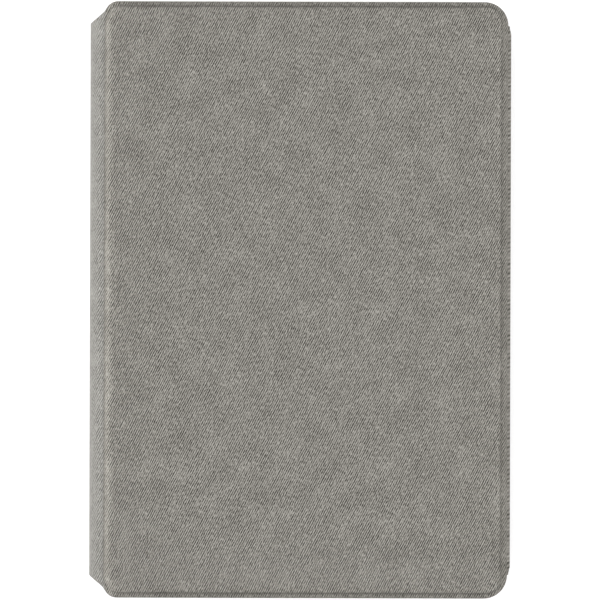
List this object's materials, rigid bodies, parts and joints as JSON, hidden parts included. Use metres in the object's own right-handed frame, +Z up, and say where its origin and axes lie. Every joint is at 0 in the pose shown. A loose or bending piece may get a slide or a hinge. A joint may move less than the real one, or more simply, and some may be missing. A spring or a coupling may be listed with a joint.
{
  "type": "tablet keyboard case",
  "caption": "Fabric covered folio case that closes like a book, with a keyboard in the front cover and a lifting tray that props a tablet up for typing.",
  "frame": {"origin": "centre of the underside of the closed case, on the surface it lies on", "axes": "+Z up through the closed case, +Y along the spine, +X from the spine to the free edge"},
  "size_m": [0.1794, 0.254, 0.024],
  "materials": {
    "outer_fabric": "grey melange twill",
    "spine_fabric": "grey melange twill, worn lighter",
    "lining": "charcoal brushed microfibre",
    "board": "pressed fibre board",
    "magnet": "nickel plated",
    "hinge_metal": "brushed",
    "tray_plastic": "fine texture",
    "clip_plastic": "soft touch",
    "prop_plastic": "fine texture",
    "rubber": "matte",
    "spring_steel": "drawn wire",
    "deck_plastic": "satin silver",
    "case_plastic": "satin",
    "key_plastic": "satin white",
    "tape": "foam tape",
    "dome_rubber": "translucent silicone",
    "link_plastic": "moulded",
    "membrane": "printed film",
    "plate_steel": "galvanised",
    "circuit_board": "solder mask",
    "battery": "foil pouch",
    "socket_metal": "stamped",
    "dark_plastic": "gloss",
    "light_pipe": "frosted"
  },
  "bodies": {
    "rear_cover": {"rear_outer_fabric": "outer_fabric", "rear_board": "board", "rear_lining": "lining", "rear_magnets": "magnet", "tray_hinge_base": "hinge_metal", "tray_hinge_rivets": "hinge_metal", "tray_hinge_pins": "hinge_metal"},
    "spine": {"spine_outer_fabric": "spine_fabric", "spine_stiffener": "board", "spine_lining": "lining", "rear_hinge_fabric": "spine_fabric", "front_hinge_fabric": "spine_fabric"},
    "front_cover": {"front_outer_fabric": "outer_fabric", "front_board": "board", "front_lining": "lining", "front_magnets": "magnet", "keyboard_deck": "deck_plastic", "keyboard_bottom_case": "case_plastic", "mounting_tape": "tape", "case_screws": "hinge_metal", "screen_bumpers": "rubber", "dome_sheet": "dome_rubber", "scissor_links": "link_plastic", "circuit_membrane": "membrane", "support_plate": "plate_steel", "main_board": "circuit_board", "battery_cells": "battery", "usb_socket": "socket_metal", "indicator_lights": "light_pipe"},
    "tray": {"tablet_tray": "tray_plastic", "tray_pads": "rubber", "lower_clips": "clip_plastic", "clamp_springs": "spring_steel", "prop_pin": "hinge_metal"},
    "clamp": {"clamp_slider": "tray_plastic", "upper_clips": "clip_plastic"},
    "prop": {"prop_flap": "prop_plastic", "prop_foot": "rubber"},
    "power_switch_knob": {"power_switch": "dark_plastic"},
    "connect_button_cap": {"connect_button": "dark_plastic"},
    "function_keys_body": {"function_keys": "key_plastic"},
    "number_keys_body": {"number_keys": "key_plastic"},
    "top_letter_keys_body": {"top_letter_keys": "key_plastic"},
    "home_letter_keys_body": {"home_letter_keys": "key_plastic"},
    "bottom_letter_keys_body": {"bottom_letter_keys": "key_plastic"},
    "modifier_keys_body": {"modifier_keys": "key_plastic"},
    "key_backspace_body": {"key_backspace": "key_plastic"},
    "key_tab_body": {"key_tab": "key_plastic"},
    "key_caps_lock_body": {"key_caps_lock": "key_plastic"},
    "key_enter_body": {"key_enter": "key_plastic"},
    "key_shift_left_body": {"key_shift_left": "key_plastic"},
    "key_shift_right_body": {"key_shift_right": "key_plastic"},
    "key_command_left_body": {"key_command_left": "key_plastic"},
    "key_command_right_body": {"key_command_right": "key_plastic"},
    "space_bar_body": {"space_bar": "key_plastic"},
    "key_arrow_up_body": {"key_arrow_up": "key_plastic"},
    "key_arrow_left_body": {"key_arrow_left": "key_plastic"},
    "key_arrow_down_body": {"key_arrow_down": "key_plastic"},
    "key_arrow_right_body": {"key_arrow_right": "key_plastic"}
  },
  "joints": [
    {"name": "spine_rear", "type": "hinge", "parent": "rear_cover", "child": "spine", "pos_m": [-0.0882, 0, 0.0015], "axis": [0, -1, 0], "range_deg": [0, 90], "deforming": ["rear_hinge_fabric"]},
    {"name": "spine_front", "type": "hinge", "parent": "spine", "child": "front_cover", "pos_m": [-0.0882, 0, 0.0225], "axis": [0, -1, 0], "range_deg": [0, 90], "deforming": ["front_hinge_fabric"]},
    {"name": "tray_lift", "type": "hinge", "parent": "rear_cover", "child": "tray", "pos_m": [-0.0834, 0, 0.0044], "axis": [0, -1, 0], "range_deg": [0, 65]},
    {"name": "prop_swing", "type": "hinge", "parent": "tray", "child": "prop", "pos_m": [-0.0054, 0, 0.0044], "axis": [0, 1, 0], "range_deg": [0, 130]},
    {"name": "clamp_slide", "type": "slide", "parent": "tray", "child": "clamp", "axis": [1, 0, 0], "range_m": [0, 0.008], "stiffness_N_per_m": 150, "springref_m": -0.004, "deforming": ["clamp_springs"]},
    {"name": "power_switch_slide", "type": "slide", "parent": "front_cover", "child": "power_switch_knob", "axis": [1, 0, 0], "range_m": [0, 0.003]},
    {"name": "connect_press", "type": "slide", "parent": "front_cover", "child": "connect_button_cap", "axis": [0, 0, 1], "range_m": [0, 0.0005], "stiffness_N_per_m": 1000, "springref_m": -0.0003},
    {"name": "function_keys_press", "type": "slide", "parent": "front_cover", "child": "function_keys_body", "axis": [0, 0, 1], "range_m": [0, 0.0012], "stiffness_N_per_m": 300, "springref_m": -0.0006, "deforming": ["dome_sheet", "scissor_links"]},
    {"name": "number_keys_press", "type": "slide", "parent": "front_cover", "child": "number_keys_body", "axis": [0, 0, 1], "range_m": [0, 0.0012], "stiffness_N_per_m": 300, "springref_m": -0.0006},
    {"name": "top_letter_keys_press", "type": "slide", "parent": "front_cover", "child": "top_letter_keys_body", "axis": [0, 0, 1], "range_m": [0, 0.0012], "stiffness_N_per_m": 300, "springref_m": -0.0006},
    {"name": "home_letter_keys_press", "type": "slide", "parent": "front_cover", "child": "home_letter_keys_body", "axis": [0, 0, 1], "range_m": [0, 0.0012], "stiffness_N_per_m": 300, "springref_m": -0.0006},
    {"name": "bottom_letter_keys_press", "type": "slide", "parent": "front_cover", "child": "bottom_letter_keys_body", "axis": [0, 0, 1], "range_m": [0, 0.0012], "stiffness_N_per_m": 300, "springref_m": -0.0006},
    {"name": "modifier_keys_press", "type": "slide", "parent": "front_cover", "child": "modifier_keys_body", "axis": [0, 0, 1], "range_m": [0, 0.0012], "stiffness_N_per_m": 300, "springref_m": -0.0006},
    {"name": "key_backspace_press", "type": "slide", "parent": "front_cover", "child": "key_backspace_body", "axis": [0, 0, 1], "range_m": [0, 0.0012], "stiffness_N_per_m": 300, "springref_m": -0.0006},
    {"name": "key_tab_press", "type": "slide", "parent": "front_cover", "child": "key_tab_body", "axis": [0, 0, 1], "range_m": [0, 0.0012], "stiffness_N_per_m": 300, "springref_m": -0.0006},
    {"name": "key_caps_lock_press", "type": "slide", "parent": "front_cover", "child": "key_caps_lock_body", "axis": [0, 0, 1], "range_m": [0, 0.0012], "stiffness_N_per_m": 300, "springref_m": -0.0006},
    {"name": "key_enter_press", "type": "slide", "parent": "front_cover", "child": "key_enter_body", "axis": [0, 0, 1], "range_m": [0, 0.0012], "stiffness_N_per_m": 300, "springref_m": -0.0006},
    {"name": "key_shift_left_press", "type": "slide", "parent": "front_cover", "child": "key_shift_left_body", "axis": [0, 0, 1], "range_m": [0, 0.0012], "stiffness_N_per_m": 300, "springref_m": -0.0006},
    {"name": "key_shift_right_press", "type": "slide", "parent": "front_cover", "child": "key_shift_right_body", "axis": [0, 0, 1], "range_m": [0, 0.0012], "stiffness_N_per_m": 300, "springref_m": -0.0006},
    {"name": "key_command_left_press", "type": "slide", "parent": "front_cover", "child": "key_command_left_body", "axis": [0, 0, 1], "range_m": [0, 0.0012], "stiffness_N_per_m": 300, "springref_m": -0.0006},
    {"name": "key_command_right_press", "type": "slide", "parent": "front_cover", "child": "key_command_right_body", "axis": [0, 0, 1], "range_m": [0, 0.0012], "stiffness_N_per_m": 300, "springref_m": -0.0006},
    {"name": "space_bar_press", "type": "slide", "parent": "front_cover", "child": "space_bar_body", "axis": [0, 0, 1], "range_m": [0, 0.0012], "stiffness_N_per_m": 300, "springref_m": -0.0006},
    {"name": "key_arrow_up_press", "type": "slide", "parent": "front_cover", "child": "key_arrow_up_body", "axis": [0, 0, 1], "range_m": [0, 0.0012], "stiffness_N_per_m": 300, "springref_m": -0.0006},
    {"name": "key_arrow_left_press", "type": "slide", "parent": "front_cover", "child": "key_arrow_left_body", "axis": [0, 0, 1], "range_m": [0, 0.0012], "stiffness_N_per_m": 300, "springref_m": -0.0006},
    {"name": "key_arrow_down_press", "type": "slide", "parent": "front_cover", "child": "key_arrow_down_body", "axis": [0, 0, 1], "range_m": [0, 0.0012], "stiffness_N_per_m": 300, "springref_m": -0.0006},
    {"name": "key_arrow_right_press", "type": "slide", "parent": "front_cover", "child": "key_arrow_right_body", "axis": [0, 0, 1], "range_m": [0, 0.0012], "stiffness_N_per_m": 300, "springref_m": -0.0006}
  ],
  "couplings": [
    {"joint": "tray_lift", "follows": "spine_rear", "ratio": 0.7222},
    {"joint": "prop_swing", "follows": "spine_rear", "ratio": 1.4444}
  ]
}
